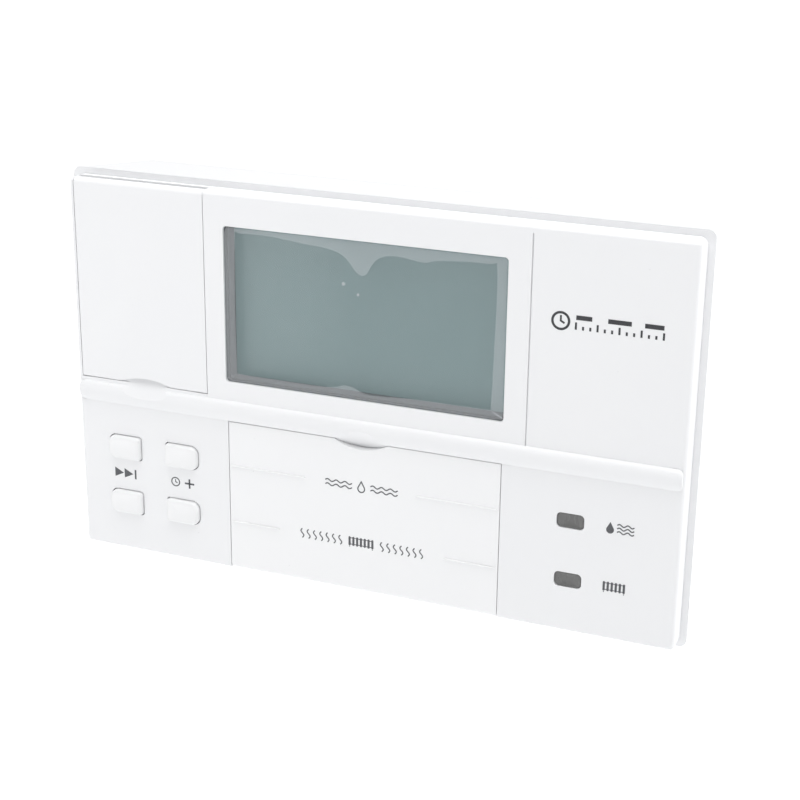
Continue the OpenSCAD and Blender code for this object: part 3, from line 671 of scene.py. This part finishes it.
def make_indicators():
    """Two smoked windows with a shallow dished front."""
    low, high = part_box("indicator_windows")
    x = middle_of("indicator_windows")[0]
    flange_half_h = LAMP_FLANGE_HALF[1]
    bm = bmesh.new()
    for z in (high[2] / MM - flange_half_h, low[2] / MM + flange_half_h):
        add_cap(bm, (x, z), *LAMP_HALF, (0.95,) * 4, *LAMP_D, 0.25, dome=-LAMP_DISH)
        add_cap(bm, (x, z), *LAMP_FLANGE_HALF, (1.2,) * 4, *LAMP_FLANGE_D, 0.1)
    stand_for(make_object("indicator_pair", bm, [smoked]), "indicator_windows")


make_indicators()

# ---------------------------------------------------------------- printed marks


class Mark:
    """Flat shapes in mm, printed as a thin layer on a surface at one depth."""

    def __init__(self, x, z, depth):
        self.bm = bmesh.new()
        self.centre = (x, z)
        self.depth = depth

    def polygon(self, points):
        self.bm.faces.new(add_loop(self.bm, self.centre, points, self.depth))

    def disc(self, x, z, r, steps=28):
        self.polygon([(x + px, z + pz) for px, pz in circle(r, steps)])

    def stroke(self, points, width, closed=False):
        """A line of even width through points, with mitred bends."""
        count = len(points)
        left, right = [], []
        for i, point in enumerate(points):
            here = Vector(point)
            before = Vector(points[i - 1]) if closed or i else None
            after = Vector(points[(i + 1) % count]) if closed or i < count - 1 else None
            a = (here - before).normalized() if before is not None else None
            b = (after - here).normalized() if after is not None else None
            way = ((a or b) + (b or a)).normalized()
            across = Vector((-way.y, way.x))
            turn = max(0.4, across.dot(Vector((-(b or a).y, (b or a).x))))
            left.append(tuple(here + across * width / 2 / turn))
            right.append(tuple(here - across * width / 2 / turn))
        a_side = add_loop(self.bm, self.centre, left, self.depth)
        b_side = add_loop(self.bm, self.centre, right, self.depth)
        for i in range(count if closed else count - 1):
            j = (i + 1) % count
            self.bm.faces.new((a_side[i], a_side[j], b_side[j], b_side[i]))

    def ring(self, x, z, r, width, steps=32):
        self.stroke([(x + px, z + pz) for px, pz in circle(r, steps)], width, closed=True)

    def droplet(self, x, z, h, width=None):
        """A water drop of height h, as an outline if a line width is given."""
        r = h * 0.32
        points = [(x, z + h / 2)]
        for k in range(17):
            a = math.radians(25 - 230 * k / 16)
            points.append((x + r * math.cos(a), z - h / 2 + r + r * math.sin(a)))
        if width:
            self.stroke(points, width, closed=True)
        else:
            self.polygon(points)

    def wave(self, x0, x1, z, swing, period, width):
        """A level wavy line from x0 to x1."""
        steps = max(8, int((x1 - x0) / 0.15))
        self.stroke([(x0 + (x1 - x0) * k / steps,
                      z + swing * math.sin(math.tau * (x1 - x0) * k / steps / period))
                     for k in range(steps + 1)], width)

    def radiator(self, x, z, w, h, fins, width):
        """A column radiator: thick rounded fins joined by two thin rails, on two feet."""
        pitch = w / fins
        for k in range(fins):
            self.bar(x - w / 2 + pitch * (k + 0.5), z + h * 0.06, pitch * 0.56, h * 0.88)
        for rail in (-0.24, 0.36):
            for k in range(fins - 1):
                x0 = x - w / 2 + pitch * (k + 0.78)
                self.stroke([(x0, z + h * rail), (x0 + pitch * 0.44, z + h * rail)], width * 0.6)
        for side in (-1, 1):
            self.disc(x + side * (w - pitch) / 2, z - h * 0.46, width * 0.45, 12)

    def bar(self, x, z, w, h):
        """An upright bar with round ends."""
        r = w / 2
        points = []
        for end in (1, -1):
            for k in range(9):
                a = math.pi * k / 8
                points.append((x + end * r * math.cos(a), z + end * (h / 2 - r + r * math.sin(a))))
        self.polygon(points)

    def heat(self, x, z, h, width):
        """One upright wavy line of rising heat."""
        steps = 16
        self.stroke([(x + 0.16 * h * math.sin(math.tau * k / steps), z - h / 2 + h * k / steps)
                     for k in range(steps + 1)], width)

    def place(self, name, body, ink, slot, thickness=0.035):
        """Gives the shapes their ink's thickness and sets them on a body."""
        flat = list(self.bm.faces)
        grown = bmesh.ops.extrude_face_region(self.bm, geom=flat)
        for v in (g for g in grown["geom"] if isinstance(g, bmesh.types.BMVert)):
            v.co.y -= thickness * MM
        piece = make_object(name, self.bm, [ink])
        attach(piece, body)


# Width of the printed lines, and where the marks' columns and rows are
LINE = 0.26
BUTTON_LEFT, ROW_WATER = middle_of("button_water_advance")
BUTTON_RIGHT = middle_of("button_water_extend")[0]
ROW_HEATING = middle_of("button_heating_advance")[1]
FLAP_X = middle_of("selector_flap")[0]
LAMP_X = middle_of("indicator_windows")[0]
EMBLEM = (53.9, 24.5)
EMBLEM_SCALE_X0 = -7.4
EMBLEM_PITCH = 1.5


def print_front():
    """Pictograms for the two channels and the button columns, and a clock with a day scale."""
    water = Mark(FLAP_X + 0.2, ROW_WATER - 0.15, 0)
    water.droplet(0, 0, 2.5, LINE)
    for side in (-1, 1):
        for row in (-0.55, 0.45):
            inner, outer = 2.2, 8.6
            x0, x1 = sorted((side * inner, side * outer))
            water.wave(x0, x1, row, 0.26, 2.1, LINE)
    water.place("water_mark", "flap", ink_grey, "white_shell")

    heating = Mark(FLAP_X + 0.2, ROW_HEATING - 0.05, 0)
    heating.radiator(0, 0, 6.4, 2.5, 7, LINE)
    for side in (-1, 1):
        for k in range(7):
            heating.heat(side * (5.0 + 1.55 * k), 0, 2.2, LINE)
    heating.place("heating_mark", "flap", ink_grey, "white_shell")

    middle = (ROW_WATER + ROW_HEATING) / 2
    advance = Mark(BUTTON_LEFT + 0.15, middle + 0.3, 0)
    for x in (-3.2, -0.7):
        advance.polygon([(x, -1.15), (x + 2.3, 0), (x, 1.15)])
    advance.stroke([(2.2, -1.15), (2.2, 1.15)], 0.42)
    advance.place("advance_mark", "casing", ink_grey, "white_shell")

    extend = Mark(BUTTON_RIGHT, middle + 0.3, 0)
    extend.ring(-1.9, 0, 1.02, LINE)
    extend.stroke([(-1.9, 0.62), (-1.9, 0), (-1.42, -0.2)], LINE * 0.85)
    extend.stroke([(0.5, 0), (2.9, 0)], 0.4)
    extend.stroke([(1.7, -1.15), (1.7, 1.15)], 0.4)
    extend.place("extend_mark", "casing", ink_grey, "white_shell")

    lamp_water = Mark(LAMP_X + 10.5, ROW_WATER + 0.1, 0)
    lamp_water.droplet(-1.9, 0, 2.6)
    for row in (-0.8, 0, 0.8):
        lamp_water.wave(-0.4, 3.2, row, 0.24, 1.8, LINE)
    lamp_water.place("water_lamp_mark", "casing", ink_grey, "white_shell")

    lamp_heating = Mark(LAMP_X + 10.1, ROW_HEATING + 0.1, 0)
    lamp_heating.radiator(0, 0, 5.2, 2.5, 6, LINE)
    lamp_heating.place("heating_lamp_mark", "casing", ink_grey, "white_shell")

    emblem = Mark(*EMBLEM, 0)
    emblem.ring(-10.6, 0, 1.75, 0.5)
    emblem.stroke([(-10.6, 1.15), (-10.6, 0), (-9.8, -0.45)], 0.4)
    for k in range(13):
        x = EMBLEM_SCALE_X0 + EMBLEM_PITCH * k
        tall = 1.5 if k % 3 == 0 else 0.75
        emblem.stroke([(x, -1.5), (x, -1.5 + tall)], 0.42)
    for start, end in ((0, 2.2), (4.4, 7.6), (9.4, 12)):
        x0, x1 = EMBLEM_SCALE_X0 + EMBLEM_PITCH * start, EMBLEM_SCALE_X0 + EMBLEM_PITCH * end
        emblem.polygon([(x0, 0.55), (x1, 0.55), (x1, 1.5), (x0, 1.5)])
    emblem.place("emblem_mark", "casing", ink_dark, "white_shell")


# Depth in mm of the bays' floor behind the front panel, how far a mark is from its key or
# slide switch, and the distance between two detents
BAY_FLOOR = 3.6
MARK_DROP = 4.3
DETENT_PITCH = 4


def stops_of(node):
    """Where a slide knob's detents are along x, from its joint's travel."""
    joints = frame["record"]["behaviour"]["joints"]
    travel = next(j for j in joints if j["child"] == body_of[node])["range_m"][1] / MM
    count = round(travel / DETENT_PITCH) + 1
    return [middle_of(node)[0] + DETENT_PITCH * k for k in range(count)]


def print_bays():
    """Pictograms on the bay floors: the keys' use and the slide switches' positions."""
    for node in KEYS:
        x, z = middle_of(node)
        mark = Mark(x, z + MARK_DROP - 0.2, BAY_FLOOR)
        if node == "key_up":
            mark.polygon([(-1, -0.8), (1, -0.8), (0, 0.9)])
        elif node == "key_down":
            mark.polygon([(-1, 0.8), (0, -0.9), (1, 0.8)])
        elif node == "key_next":
            mark.polygon([(-1.1, -0.9), (0.5, 0), (-1.1, 0.9)])
            mark.stroke([(0.9, -0.9), (0.9, 0.9)], 0.4)
        else:
            mark.stroke([(-1.1, -1.0), (0.3, -1.0), (0.3, 0.5), (-1.1, 0.5)], 0.22, closed=True)
            mark.stroke([(-0.4, 0.85), (-0.4, 1.1), (1.0, 1.1), (1.0, -0.4), (0.65, -0.4)], 0.22)
        mark.place(node + "_mark", "casing", ink_grey, "white_shell")

    z = middle_of("mode_slider")[1]
    for k, x in enumerate(stops_of("mode_slider")):
        mark = Mark(x, z - MARK_DROP, BAY_FLOOR)
        if k == 0:
            mark.ring(0, 0, 0.95, 0.24)
            mark.stroke([(0, 0.6), (0, 0), (0.45, -0.2)], 0.2)
        elif k == 1:
            for column in (-0.7, 0, 0.7):
                for row in (-0.7, 0, 0.7):
                    mark.disc(column, row, 0.22, 12)
        else:
            mark.polygon([(-0.7, -0.95), (1.0, 0), (-0.7, 0.95)])
        mark.place(f"mode_mark_{k}", "casing", ink_grey, "white_shell")

    for node in ("water_selector", "heating_selector"):
        z = middle_of(node)[1]
        for k, x in enumerate(stops_of(node)):
            mark = Mark(x, z + MARK_DROP, BAY_FLOOR)
            if k == 0:
                mark.ring(0, 0, 0.75, 0.24)
            elif k == 3:
                mark.disc(0, 0, 0.85)
            else:
                for column in ((0,) if k == 1 else (-0.4, 0.4)):
                    mark.bar(column, 0, 0.36, 1.8)
            mark.place(f"{node}_mark_{k}", "casing", ink_grey, "white_shell")


print_front()
print_bays()

# ---------------------------------------------------------------- backdrop


# How far the floor reaches each way and how far it is below the programmer, the strength of its
# glow near and far, and the distances from the programmer that these belong to, in metres
FLOOR_REACH = 3
FLOOR_DROP = 0.15
GLOW = (0.62, 0.88)
GLOW_REACH = (0.3, 1.3)


def make_backdrop():
    """A pale floor that glows a little more with distance, where the lamps no longer reach."""
    paint = Paint("pale_floor").set(Roughness=0.9, Emission_Color=(1, 1, 1, 1))
    paint.join(paint.blend(paint.noise(400, 2), (0.50, 0.505, 0.51), (0.53, 0.535, 0.54)), "Base Color")
    reach = paint.nodes.new("ShaderNodeVectorMath")
    reach.operation = "LENGTH"
    paint.links.new(paint.coords, reach.inputs[0])
    paint.join(paint.remap(reach.outputs["Value"], *GLOW, *GLOW_REACH), "Emission Strength")
    bm = bmesh.new()
    bmesh.ops.create_grid(bm, x_segments=1, y_segments=1, size=FLOOR_REACH)
    for v in bm.verts:
        v.co.z = cad_box[0][2] - FLOOR_DROP
    make_object("floor", bm, [paint.material])


make_backdrop()
